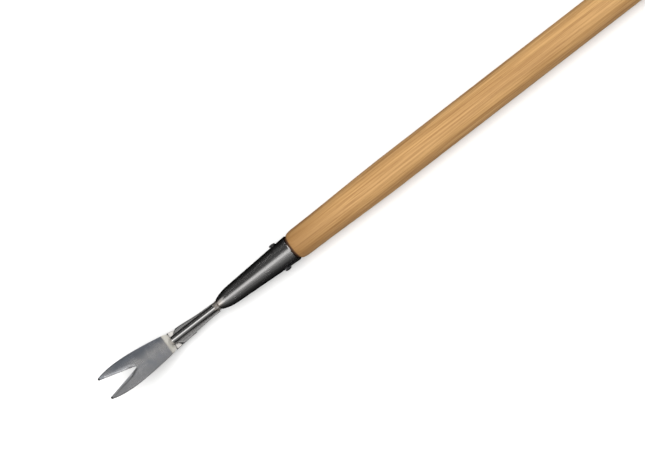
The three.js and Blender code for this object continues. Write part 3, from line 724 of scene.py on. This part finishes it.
BLADE_STEP = 1.5 * MM       # between the rows of corners along a sheet
PLATE_STEP = 1.6 * MM
NEAR_NOTCH = (0, 0.04, 0.15, 0.35, 0.6, 0.9, 1.3, 1.8, 2.5, 3.4)    # closer rows, in mm from each place
NEAR_HEEL = (0, 0.06, 0.2, 0.45, 0.8, 1.4)
NEAR_POINTS = (0.0, 0.35, 0.9, 1.8)
HEEL_CORNER = 1.4 * MM      # rounding of the heel band's corners
HEEL_FLARE = 1.6            # power of the curve that draws the heel band in
SIDE_CONTROL = 0.62         # where the blade's side is steered from, as a share of the way to its widest
POINT_CONTROL = 2 * MM      # the same for the points, past the middle of the tines
BEVEL_RUN_IN = 7 * MM       # over which the notch's bevel reaches its width
OUTER_FROM = 0.35           # the outer grind starts here and comes in over this run, in blade lengths
OUTER_RUN = 0.5
OUTER_DROP = 0.3            # depth of the outer grind, as a share of the sheet
OUTER_ROUND = 1.8
TINE_SHARE = 0.47           # the most of a tine's width that one grind may take


class BentLine:
    """Side view of the middle of a bent sheet: straight runs joined by arcs, measured along it."""

    def __init__(self, corners, radius, height):
        self.height = height
        self.runs = []
        here = corners[0].copy()
        for i in range(1, len(corners)):
            direction = (corners[i] - corners[i - 1]).normalized()
            if i == len(corners) - 1:
                self.runs.append((here, direction, (corners[i] - here).length, 0.0, 0.0))
                break
            after = (corners[i + 1] - corners[i]).normalized()
            turn = math.atan2(direction.x * after.y - direction.y * after.x, direction.dot(after))
            trim = radius * math.tan(abs(turn) / 2)
            stop = corners[i] - direction * trim
            self.runs.append((here, direction, (stop - here).length, 0.0, 0.0))
            self.runs.append((stop, direction, radius * abs(turn), turn, radius))
            here = corners[i] + after * trim
        self.length = sum(run[2] for run in self.runs)

    def at(self, distance):
        """Point and upper normal at a distance along the line, in side view."""
        for start, direction, run, turn, radius in self.runs:
            if distance <= run or (start, direction) == (self.runs[-1][0], self.runs[-1][1]):
                break
            distance -= run
        if not turn:
            return start + direction * distance, Vector((-direction.y, direction.x))
        swing = turn * distance / run
        side = Vector((-direction.y, direction.x)) * math.copysign(radius, turn)
        centre = start + side
        spin = Matrix.Rotation(swing, 2)
        return centre + spin @ (start - centre), spin @ Vector((-direction.y, direction.x))

    def bend_stations(self, steps=6):
        """Distances at and inside every bend."""
        marks, gone = [], 0.0
        for _, _, run, turn, _ in self.runs:
            if turn:
                marks += [gone + run * k / steps for k in range(steps + 1)]
            gone += run
        return marks

    def place(self, distance, across, rise):
        """A point of the sheet: across it, and above (or below) its middle."""
        point, normal = self.at(distance)
        spot = point + normal * rise
        return (spot.x, across, spot.y + self.height)


def quad_curve(x, first, control, last):
    """Height at x of a quadratic curve through first and last."""
    a = first[0] - 2 * control[0] + last[0]
    b = 2 * (control[0] - first[0])
    c = first[0] - x
    if abs(a) < 1e-9:
        t = -c / b
    else:
        t = (-b + math.sqrt(max(b * b - 4 * a * c, 0.0))) / (2 * a)
    return (1 - t) ** 2 * first[1] + 2 * t * (1 - t) * control[1] + t * t * last[1]


def stations(marks, end, step):
    """Distances from 0 to end: the marks, and even steps that keep well clear of them."""
    values = [end * k / max(1, round(end / step)) for k in range(round(end / step) + 1)]
    kept = sorted(set(m for m in marks if 0 <= m <= end) | {0.0, end})
    for value in values:
        if all(abs(value - mark) > step * 0.35 for mark in kept):
            kept.append(value)
    return sorted(kept)


def lay_row(points, corners, top, bottom):
    """Adds the (upper, lower) corners across a sheet, and their numbers to its two grids."""
    first = len(points)
    for pair in corners:
        points.extend(pair)
    top.append(list(range(first, len(points), 2)))
    bottom.append(list(range(first + 1, len(points), 2)))


def close_sheet(top, bottom):
    """Faces of a sheet from its top and bottom grids of vertex numbers, walls included."""
    rows, columns = len(top), len(top[0])
    faces = []
    for r in range(rows - 1):
        for c in range(columns - 1):
            faces.append((top[r][c], top[r + 1][c], top[r + 1][c + 1], top[r][c + 1]))
            faces.append((bottom[r][c], bottom[r][c + 1], bottom[r + 1][c + 1], bottom[r + 1][c]))
    for r in range(rows - 1):
        for c in (0, columns - 1):
            faces.append((top[r][c], top[r + 1][c], bottom[r + 1][c], bottom[r][c]))
    for c in range(columns - 1):
        for r in (0, rows - 1):
            faces.append((top[r][c], top[r][c + 1], bottom[r][c + 1], bottom[r][c]))
    return faces


def rounded_sheet(name, points, faces, material, rounding):
    """Makes the mesh, rounds its edges and returns it with smooth faces."""
    mesh = bpy.data.meshes.new(name)
    mesh.from_pydata(points, [], faces)
    mesh.materials.append(material)
    work = bmesh.new()
    work.from_mesh(mesh)
    bmesh.ops.remove_doubles(work, verts=work.verts, dist=SAME_CORNER)
    doubled = [f for f in work.faces if f.calc_area() < SLIVER]
    bmesh.ops.delete(work, geom=doubled, context="FACES_ONLY")
    bmesh.ops.recalc_face_normals(work, faces=work.faces)
    work.to_mesh(mesh)
    work.free()
    draft = add_object(name, mesh)
    bevel = draft.modifiers.new("edges", "BEVEL")
    bevel.width = rounding
    bevel.segments = 3
    bevel.limit_method = "ANGLE"
    bevel.angle_limit = BEVELLED_CORNER
    bevel.use_clamp_overlap = True
    piece = finished(draft, name)
    piece.data.shade_smooth()
    piece.data.set_sharp_from_angle(angle=SHEET_CORNER)
    return piece


class BladeShape:
    """Plan of the blade, measured along the sheet from the heel bend (heel band negative)."""

    def __init__(self, places):
        s = sizes()
        self.s = s
        self.half = places.blade_half
        self.apex = s.blade_length - s.notch_depth
        self.inner_tip = (s.tine_spacing - s.point_width) / 2
        self.outer_tip = (s.tine_spacing + s.point_width) / 2
        r = s.notch_rounding
        lean = 0.26     # a first guess; the notch's side is then made to run off its rounded bottom
        for _ in range(8):
            self.round_end = r * (1 - math.sin(lean))
            rise = self.inner_tip - r * math.cos(lean)
            lean = math.atan2(rise, s.notch_depth - self.round_end)
        self.lean = lean

    def outer(self, u):
        """Half width of the outline."""
        s = self.s
        bend = s.bend_width / 2
        if u < 0:
            share = -u / s.heel_length
            width = bend - (bend - s.heel_width / 2) * share ** HEEL_FLARE
            near_end = max(0.0, 1 - (s.heel_length + u) / HEEL_CORNER)
            return width - HEEL_CORNER * (1 - math.sqrt(max(0.0, 1 - near_end ** 2)))
        if u <= s.blade_widest:
            return quad_curve(u, (0, bend), (s.blade_widest * SIDE_CONTROL, self.half),
                              (s.blade_widest, self.half))
        middle = (s.blade_widest + s.blade_length) / 2 + POINT_CONTROL
        return quad_curve(u, (s.blade_widest, self.half), (middle, self.half),
                          (s.blade_length, self.outer_tip))

    def inner(self, u):
        """Half width of the notch."""
        into = u - self.apex
        r = self.s.notch_rounding
        if into <= 0:
            return 0.0
        if into < self.round_end:
            return math.sqrt(max(0.0, r * r - (r - into) ** 2))
        return r * math.cos(self.lean) + (into - self.round_end) * math.tan(self.lean)

    def grind(self, u):
        """At u: how wide the bevel's slope is, how much of it the tine has room for, the outer grind."""
        s = self.s
        into = (u - self.apex) / BEVEL_RUN_IN
        inner = s.bevel_width * min(1.0, max(0.12, into))
        out = (u - OUTER_FROM * s.blade_length) / (OUTER_RUN * s.blade_length)
        outer = s.outer_grind * min(1.0, max(0.1, out))
        room = (self.outer(u) - self.inner(u)) * TINE_SHARE
        return inner, min(inner, room), min(outer, room)

    def columns(self, u):
        """Across the half blade: (distance from the middle line, height of the upper face)."""
        s = self.s
        inner, outer = self.inner(u), self.outer(u)
        ground, bevel, soft = self.grind(u)
        half = s.blade_sheet / 2
        cut = (s.blade_sheet - s.bevel_edge) * min(1.0, ground / s.bevel_width) if u > self.apex else 0.0
        shed = OUTER_DROP * s.blade_sheet * min(1.0, max(0.0, soft / s.outer_grind - 0.1))
        row = [(inner, half), (inner + bevel, half)]
        body_start, body_end = inner + bevel, outer - soft
        for k in range(1, 6):
            row.append((body_start + (body_end - body_start) * k / 6, half))
        for k in range(0, 6):
            share = k / 5
            row.append((body_end + soft * share, half - shed * share ** OUTER_ROUND))
        return [(across, min(rise, half - cut * max(0.0, 1 - (across - inner) / ground)))
                for across, rise in row]


def blade_mesh(places, material):
    s = sizes()
    shape = BladeShape(places)
    line = BentLine([places.heel_end, places.heel_bend, places.points], s.bend_radius, places.axis_z)
    bend_at = line.length - s.blade_length
    marks = line.bend_stations()
    marks += [bend_at + shape.apex + d * MM for d in NEAR_NOTCH]
    marks += [d * MM for d in NEAR_HEEL] + [line.length - d * MM for d in NEAR_POINTS]
    rows = stations(marks, line.length, BLADE_STEP)
    points, faces = [], []
    for side in (1, -1):
        top, bottom = [], []
        for distance in rows:
            corners = [(line.place(distance, side * across, -rise),
                        line.place(distance, side * across, s.blade_sheet / 2))
                       for across, rise in shape.columns(distance - bend_at)]
            lay_row(points, corners, top, bottom)
        solid = [r for r, distance in enumerate(rows) if distance - bend_at <= shape.apex + 1e-9]
        middle = {grid[r][0] for grid in (top, bottom) for r in solid}
        faces += [f for f in close_sheet(top, bottom) if not all(v in middle for v in f)]
    return rounded_sheet("blade", points, faces, material, s.edge_rounding)


def grid_sheet(name, stations_along, half_width, spot, sheet, material, count=13):
    """A sheet from a grid: spot(distance, across, rise) gives each corner, half_width the sides."""
    points, top, bottom = [], [], []
    for distance in stations_along:
        half = half_width(distance)
        spread = [half * (2 * k / (count - 1) - 1) for k in range(count)]
        lay_row(points, [(spot(distance, across, sheet / 2), spot(distance, across, -sheet / 2))
                         for across in spread], top, bottom)
    return rounded_sheet(name, points, close_sheet(top, bottom), material, sizes().edge_rounding)


def fulcrum_mesh(places, material):
    s = sizes()
    line = BentLine([places.plate_top, places.foot_start, places.foot_end], s.bend_radius, places.axis_z)
    rows = stations(line.bend_stations(8), line.length, PLATE_STEP)
    span = places.foot_start.x - places.plate_top.x

    def half_width(distance):
        share = (line.at(distance)[0].x - places.plate_top.x) / span
        share = max(0.0, min(1.0, share))
        return (s.plate_top_width + (s.plate_foot_width - s.plate_top_width) * share) / 2

    return grid_sheet("sloping_fulcrum_plate", rows, half_width, line.place, s.plate_sheet, material)


def cubic(share, a, b, c, d):
    """Value of a cubic curve with the given four controls."""
    rest = 1 - share
    return rest ** 3 * a + 3 * rest ** 2 * share * b + 3 * rest * share ** 2 * c + share ** 3 * d


def neck_plate_mesh(places, material):
    """The level plate under the rod, pointed and mitred where it stands on the fulcrum plate."""
    s = sizes()
    top = places.neck_top
    under = top - s.neck_sheet
    start = places.rod_x + s.neck_start
    shoulder = places.rod_x + s.neck_shoulder
    length = places.neck_end - shoulder
    half = s.neck_width / 2
    outline = [(start + (shoulder - start) * k / 8, s.neck_point / 2 + (half - s.neck_point / 2) * k / 8)
               for k in range(8)]
    for k in range(41):
        x = cubic(k / 40, shoulder, shoulder + 0.3 * length, shoulder + 0.3 * length, places.neck_end)
        outline.append((x, cubic(k / 40, half, half, s.neck_draw, s.neck_nose / 2)))
    widths = dict(outline)

    low, high = places.clear_of_plate(under), places.clear_of_plate(top)

    def mitre(x):
        """Height of the underside, which is cut off along the fulcrum plate's slope."""
        return top + (under - top) * min(1.0, max(0.0, (x - high) / (low - high)))

    def spot(x, across, rise):
        return (x, across, places.axis_z + (top if rise > 0 else max(under, mitre(x))))

    return grid_sheet("pointed_neck_plate", list(widths), widths.get, spot, s.neck_sheet, material)


# ---- weld beads ---------------------------------------------------------------------------------

# Rings of the collar: (mm before the nose, out from the rod in bead radii).
COLLAR_RINGS = ((0.35, 0.42), (1.3, 0.22), (2.3, -0.05), (3.3, -0.35))
# Tacks before the collar: (side, mm before the nose, run in mm).
TACKS = ((1, 4.9, 1.6), (-1, 5.6, 2.2))
TACK_SWING = math.radians(39)
CRESCENT_SWING = math.radians(66)


def bead(name, paths, radius, material, closed=0, seed=0, spacing=0.75):
    """Runs of weld metal along one or more paths, as one piece; the first paths are closed rings."""
    points, edges = [], []
    for number, path in enumerate(paths):
        first = len(points)
        points += path
        edges += [(first + i, first + i + 1) for i in range(len(path) - 1)]
        if number < closed:
            edges.append((len(points) - 1, first))
    values = {"Ripple Spacing": spacing * MM, "Bead Radius": radius, "Unevenness": 0.14,
              "Voxel": 0.13 * MM, "Seed": sizes().seed + seed}
    piece = run_tree(name, points, edges, shared(bead_tree, "weld_bead"), values, material)
    piece.data.shade_smooth()
    return piece


def nose_bead(places, material):
    """A tapering collar where the socket's nose is closed on the rod, with two tacks before it."""
    s = sizes()
    radius = (s.nose_wall - 0.2 * MM) * 0.55
    turns = 48
    paths = []
    for back, out in COLLAR_RINGS:
        ring = places.rod_radius + radius * out
        x = places.nose_x - s.clearance - radius * 0.35 - back * MM
        paths.append([(x, ring * math.cos(2 * math.pi * k / turns),
                       places.axis_z + ring * math.sin(2 * math.pi * k / turns)) for k in range(turns)])
    near = places.rod_radius + 0.1 * MM
    for side, back, run in TACKS:
        swing = TACK_SWING * side
        paths.append([(places.nose_x - (back - run * k / 4) * MM, near * math.sin(swing),
                       places.axis_z + near * math.cos(swing)) for k in range(5)])
    return bead("collar_weld", paths, radius, material, closed=len(COLLAR_RINGS))


def rod_bead(places, material):
    """A short crescent under the end of the rod, on the heel band."""
    reach = places.rod_radius * 0.9
    path = []
    for k in range(9):
        swing = CRESCENT_SWING * (k / 4 - 1)
        path.append((places.rod_x - 0.25 * MM, reach * math.sin(swing),
                     places.axis_z - reach * math.cos(swing) + 0.2 * MM))
    return bead("rod_end_weld", [path], sizes().bead * 0.2, material, seed=2, spacing=0.4)


def line_bead(name, spot, half_width, radius, places, material, seed):
    """A bead straight across the tool at a spot of the side view, from -half_width to half_width."""
    path = [(spot.x, half_width * (k / 5 - 1), places.axis_z + spot.y) for k in range(11)]
    return bead(name, [path], radius, material, seed=seed)


# ---- operators ----------------------------------------------------------------------------------

class WEEDER_OT_handle(bpy.types.Operator):
    """Turns the ash handle with its tenon and rounded shoulder"""
    bl_idname = "weeder.handle"
    bl_label = "Handle"

    def execute(self, context):
        places = Places()
        piece = turned("ash_handle", handle_profile(places), ash_wood(places), places.axis_z)
        finish_piece(tidy_normals(piece), "ash_wood", "handle")
        return {"FINISHED"}


class WEEDER_OT_socket(bpy.types.Operator):
    """Makes the swaged steel socket"""
    bl_idname = "weeder.socket"
    bl_label = "Socket"

    def execute(self, context):
        places = Places()
        steel = polished_steel("socket_steel", places.nose_x + 0.5 * MM, 7 * MM, 0.3)
        piece = turned("steel_socket", socket_profile(places), steel, places.axis_z)
        finish_piece(tidy_normals(piece), "polished_steel", "socket")
        return {"FINISHED"}


class WEEDER_OT_rod(bpy.types.Operator):
    """Makes the round neck rod"""
    bl_idname = "weeder.rod"
    bl_label = "Neck Rod"

    def execute(self, context):
        places = Places()
        # Painted highlight: the rod's steel colour is brightened half again to lift its highlight
        steel = polished_steel("rod_steel", places.nose_x, 7 * MM, 0.4, roughness=0.13, painted_light_factor=1.55)
        piece = turned("round_neck_rod", rod_profile(places), steel, places.axis_z)
        finish_piece(tidy_normals(piece), "polished_steel", "neck_rod")
        return {"FINISHED"}


class WEEDER_OT_rivet(bpy.types.Operator):
    """Sets the rivet through socket and handle"""
    bl_idname = "weeder.rivet"
    bl_label = "Rivet"

    def execute(self, context):
        places = Places()
        finish_piece(rivet_mesh(places, rivet_steel()), "rivet_steel", "rivet")
        return {"FINISHED"}


class WEEDER_OT_blade(bpy.types.Operator):
    """Cuts, bends and grinds the forked blade"""
    bl_idname = "weeder.blade"
    bl_label = "Blade"

    def execute(self, context):
        places = Places()
        finish_piece(blade_mesh(places, blade_steel(places)), "blade_steel", "blade")
        return {"FINISHED"}


class WEEDER_OT_fulcrum(bpy.types.Operator):
    """Bends the fulcrum plate"""
    bl_idname = "weeder.fulcrum"
    bl_label = "Fulcrum Plate"

    def execute(self, context):
        places = Places()
        steel = polished_steel("fulcrum_steel", places.rod_x, 5 * MM, 0.08, roughness=0.24)
        finish_piece(fulcrum_mesh(places, steel), "polished_steel", "fulcrum_plate")
        return {"FINISHED"}


class WEEDER_OT_neck_plate(bpy.types.Operator):
    """Cuts the pointed neck plate"""
    bl_idname = "weeder.neck_plate"
    bl_label = "Neck Plate"

    def execute(self, context):
        places = Places()
        # Painted shade: the neck plate's steel colour is darkened to dim its reflection
        steel = polished_steel("neck_plate_steel", places.nose_x, 7 * MM, 0.4, roughness=0.24, painted_light_factor=0.82)
        finish_piece(neck_plate_mesh(places, steel), "polished_steel", "neck_plate")
        return {"FINISHED"}


class WEEDER_OT_welds(bpy.types.Operator):
    """Lays the weld beads"""
    bl_idname = "weeder.welds"
    bl_label = "Welds"

    def execute(self, context):
        s = sizes()
        places = Places()
        metal = weld_metal()
        finish_piece(nose_bead(places, metal), "weld_metal", "nose_weld")
        finish_piece(rod_bead(places, metal), "weld_metal", "rod_weld")
        seam = places.heel_end.lerp(places.plate_top, 0.5)
        seam -= places.heel_face * (s.blade_sheet / 2 + 0.2 * MM)
        finish_piece(line_bead("heel_seam_weld", seam, s.heel_width * 0.42, s.bead * 0.4,
                               places, metal, 3), "weld_metal", "heel_weld")
        under = places.neck_top - s.neck_sheet - 0.5 * MM
        corner = Vector((places.clear_of_plate(under) + 0.5 * MM, under))
        finish_piece(line_bead("neck_point_weld", corner, s.neck_point * 0.5, s.bead * 0.3,
                               places, metal, 4), "weld_metal", "point_weld")
        return {"FINISHED"}


# ---- stage --------------------------------------------------------------------------------------

FLOOR_REACH = 60.0
# Reflected strips round the tool: from and to (degrees from overhead, + towards +Y), brightness.
TENT = ((-130, -92, 0.022), (-92, -75, 0.05), (-75, -50, 0.12), (-50, -33, 0.24), (-33, -21, 0.42),
        (-21, 2, 0.98), (2, 11, 0.45), (11, 38, 0.07), (38, 65, 0.06), (65, 95, 0.02), (95, 130, 0.008))
TENT_RADIUS = 1.3
TENT_LENGTH = 2.6
TENT_SHIFT = -0.70          # along the tool from the head, in tent radii
KEY_LEVEL = 2.35
WORLD_LEVEL = 0.4
# Reflected cards: name, way from the head, distance, size, brightness, tint.
CARDS = (("blade_card", (0.37, 0.14, 0.92), 1.45, (0.50, 0.75), 0.42, (1.0, 1.0, 1.0)),
         ("left_bevel_card", (0.09, -0.66, 0.75), 1.45, (0.34, 0.55), 2.1, (1.0, 1.0, 1.0)),
         ("right_bevel_card", (0.06, 0.84, 0.54), 1.45, (0.38, 0.75), 1.35, (1.0, 1.0, 1.0)),
         ("heel_card", (0.79, 0.136, 0.598), 1.7, (1.1, 0.9), 1.5, (1.0, 0.99, 0.97)),
         ("end_card", (-0.79, 0.14, 0.60), 1.8, (1.9, 0.8), 0.72, (1.0, 0.97, 0.95)),
         ("far_card", (-0.95, 0.1, 0.05), 2.3, (1.8, 1.2), 0.55, (1.0, 0.98, 0.96)))

VIEW_TILT = math.radians(13.0)
VIEW_ROLL = math.radians(8.0)
TOOL_SLANT = math.radians(37.695)
VIEW_WIDTH = 0.5947
LENS_MM = 400.0
SENSOR_MM = 36.0
AIM_ALONG = 176.2 * MM
AIM_ASIDE = 5.89 * MM


def aim_camera(places):
    """A long lens nearly square to the tool, turned so that the tool climbs to the right."""
    towards = Vector((math.sin(VIEW_TILT), -math.cos(VIEW_TILT) * math.sin(VIEW_ROLL),
                      math.cos(VIEW_TILT) * math.cos(VIEW_ROLL)))
    along = (Vector((1, 0, 0)) - towards * towards.x).normalized()
    aside = towards.cross(along)
    right = along * math.cos(TOOL_SLANT) - aside * math.sin(TOOL_SLANT)
    up = along * math.sin(TOOL_SLANT) + aside * math.cos(TOOL_SLANT)
    target = Vector((places.rod_x + AIM_ALONG, 0, places.axis_z)) - aside * AIM_ASIDE
    distance = VIEW_WIDTH / SENSOR_MM * LENS_MM
    data = bpy.data.cameras.new("camera")
    data.lens = LENS_MM
    data.sensor_width = SENSOR_MM
    data.clip_start = 0.1
    data.clip_end = 100.0
    camera = add_object("camera", data)
    turn = Matrix((right, up, towards)).transposed().to_4x4()
    camera.matrix_world = Matrix.Translation(target + towards * distance) @ turn
    bpy.context.scene.camera = camera


def softbox(name, centre, aim, size, radiance, tint=(1, 1, 1), glossy=True, diffuse=True):
    """A rectangular lamp of a given brightness that faces a point, its length level with the tool."""
    data = bpy.data.lights.new(name, "AREA")
    data.shape = "RECTANGLE"
    data.size, data.size_y = size
    data.energy = radiance * math.pi * size[0] * size[1]
    data.color = tint
    lamp = add_object(name, data)
    back = (Vector(centre) - Vector(aim)).normalized()
    level = Vector((0, 1, 0)) if abs(back.x) > 0.75 else Vector((1, 0, 0))
    length_way = (level - back * level.dot(back)).normalized()
    turn = Matrix((length_way, back.cross(length_way), back)).transposed().to_4x4()
    lamp.matrix_world = Matrix.Translation(centre) @ turn
    lamp.visible_camera = False
    lamp.visible_glossy = glossy
    lamp.visible_diffuse = diffuse


def floor_material():
    floor = colours().floor
    material, nodes, place, shader = new_material("pale_floor")
    cloud = nodes.noise(place, 3.0, 3.0)
    base = nodes.mix(nodes.ramp(cloud, 0.3, 0.7, 0.0, 0.3), floor, scaled(floor, 0.985))
    rough = nodes.ramp(cloud, 0.3, 0.7, 0.75, 0.85)
    plug(nodes, shader, Base_Color=base, Roughness=rough, Specular_IOR_Level=0.1)
    return material


class WEEDER_OT_stage(bpy.types.Operator):
    """Lays the floor, hangs the soft lamps and sets the camera"""
    bl_idname = "weeder.stage"
    bl_label = "Stage"

    def execute(self, context):
        places = Places()
        mesh = bpy.data.meshes.new("floor")
        corners = ((-1, -1), (1, -1), (1, 1), (-1, 1))
        mesh.from_pydata([(x * FLOOR_REACH, y * FLOOR_REACH, 0) for x, y in corners], [], [(0, 1, 2, 3)])
        mesh.materials.append(floor_material())
        floor = add_object("floor", mesh)
        floor.location.z = CAD_BOX[0][2] - 0.05 * MM
        floor.visible_glossy = False
        self.world(context)
        self.lamps(places)
        aim_camera(places)
        context.scene.view_settings.view_transform = "Standard"
        return {"FINISHED"}

    def world(self, context):
        world = bpy.data.worlds.new("studio")
        world.use_nodes = True
        background = world.node_tree.nodes["Background"]
        background.inputs["Color"].default_value = (1.0, 0.995, 0.985, 1.0)
        background.inputs["Strength"].default_value = WORLD_LEVEL
        world.cycles_visibility.glossy = False
        context.scene.world = world

    def lamps(self, places):
        x = places.rod_x
        head = Vector((x, 0.0, places.axis_z))
        softbox("top_light", (x + 0.2, 0.15, 2.2), (x + 0.2, 0, 0), (4.6, 4.0), KEY_LEVEL, glossy=False)
        for number, (first, last, level) in enumerate(TENT):
            middle, span = math.radians((first + last) / 2), math.radians(last - first)
            centre = head + Vector((TENT_SHIFT, math.sin(middle), math.cos(middle))) * TENT_RADIUS
            aim = head + Vector((TENT_SHIFT * TENT_RADIUS, 0, 0))
            width = 2 * TENT_RADIUS * math.tan(span / 2)
            softbox(f"tent_{number + 1}", centre, aim, (TENT_LENGTH, width), level, diffuse=False)
        for name, way, distance, size, level, tint in CARDS:
            centre = head + Vector(way).normalized() * distance
            softbox(name, centre, head, size, level, tint, diffuse=False)


# ---- panel and registration ---------------------------------------------------------------------

STEPS = ("handle", "socket", "rod", "rivet", "blade", "fulcrum", "neck_plate", "welds", "stage")


class WEEDER_PT_panel(bpy.types.Panel):
    """Lists the steps that build the weeder"""
    bl_idname = "WEEDER_PT_panel"
    bl_label = "Forked Weeder"
    bl_space_type = "VIEW_3D"
    bl_region_type = "UI"
    bl_category = "Weeder"

    def draw(self, context):
        for step in STEPS:
            self.layout.operator("weeder." + step)


CLASSES = (WeederSizes, WeederColours, WEEDER_OT_handle, WEEDER_OT_socket, WEEDER_OT_rod,
           WEEDER_OT_rivet, WEEDER_OT_blade, WEEDER_OT_fulcrum, WEEDER_OT_neck_plate,
           WEEDER_OT_welds, WEEDER_OT_stage, WEEDER_PT_panel)


def register():
    for cls in CLASSES:
        bpy.utils.register_class(cls)
    bpy.types.Scene.weeder_sizes = PointerProperty(type=WeederSizes)
    bpy.types.Scene.weeder_colours = PointerProperty(type=WeederColours)


def unregister():
    del bpy.types.Scene.weeder_colours
    del bpy.types.Scene.weeder_sizes
    for cls in reversed(CLASSES):
        bpy.utils.unregister_class(cls)


def main():
    register()
    for step in STEPS:
        getattr(bpy.ops.weeder, step)()


if __name__ == "__main__":
    main()
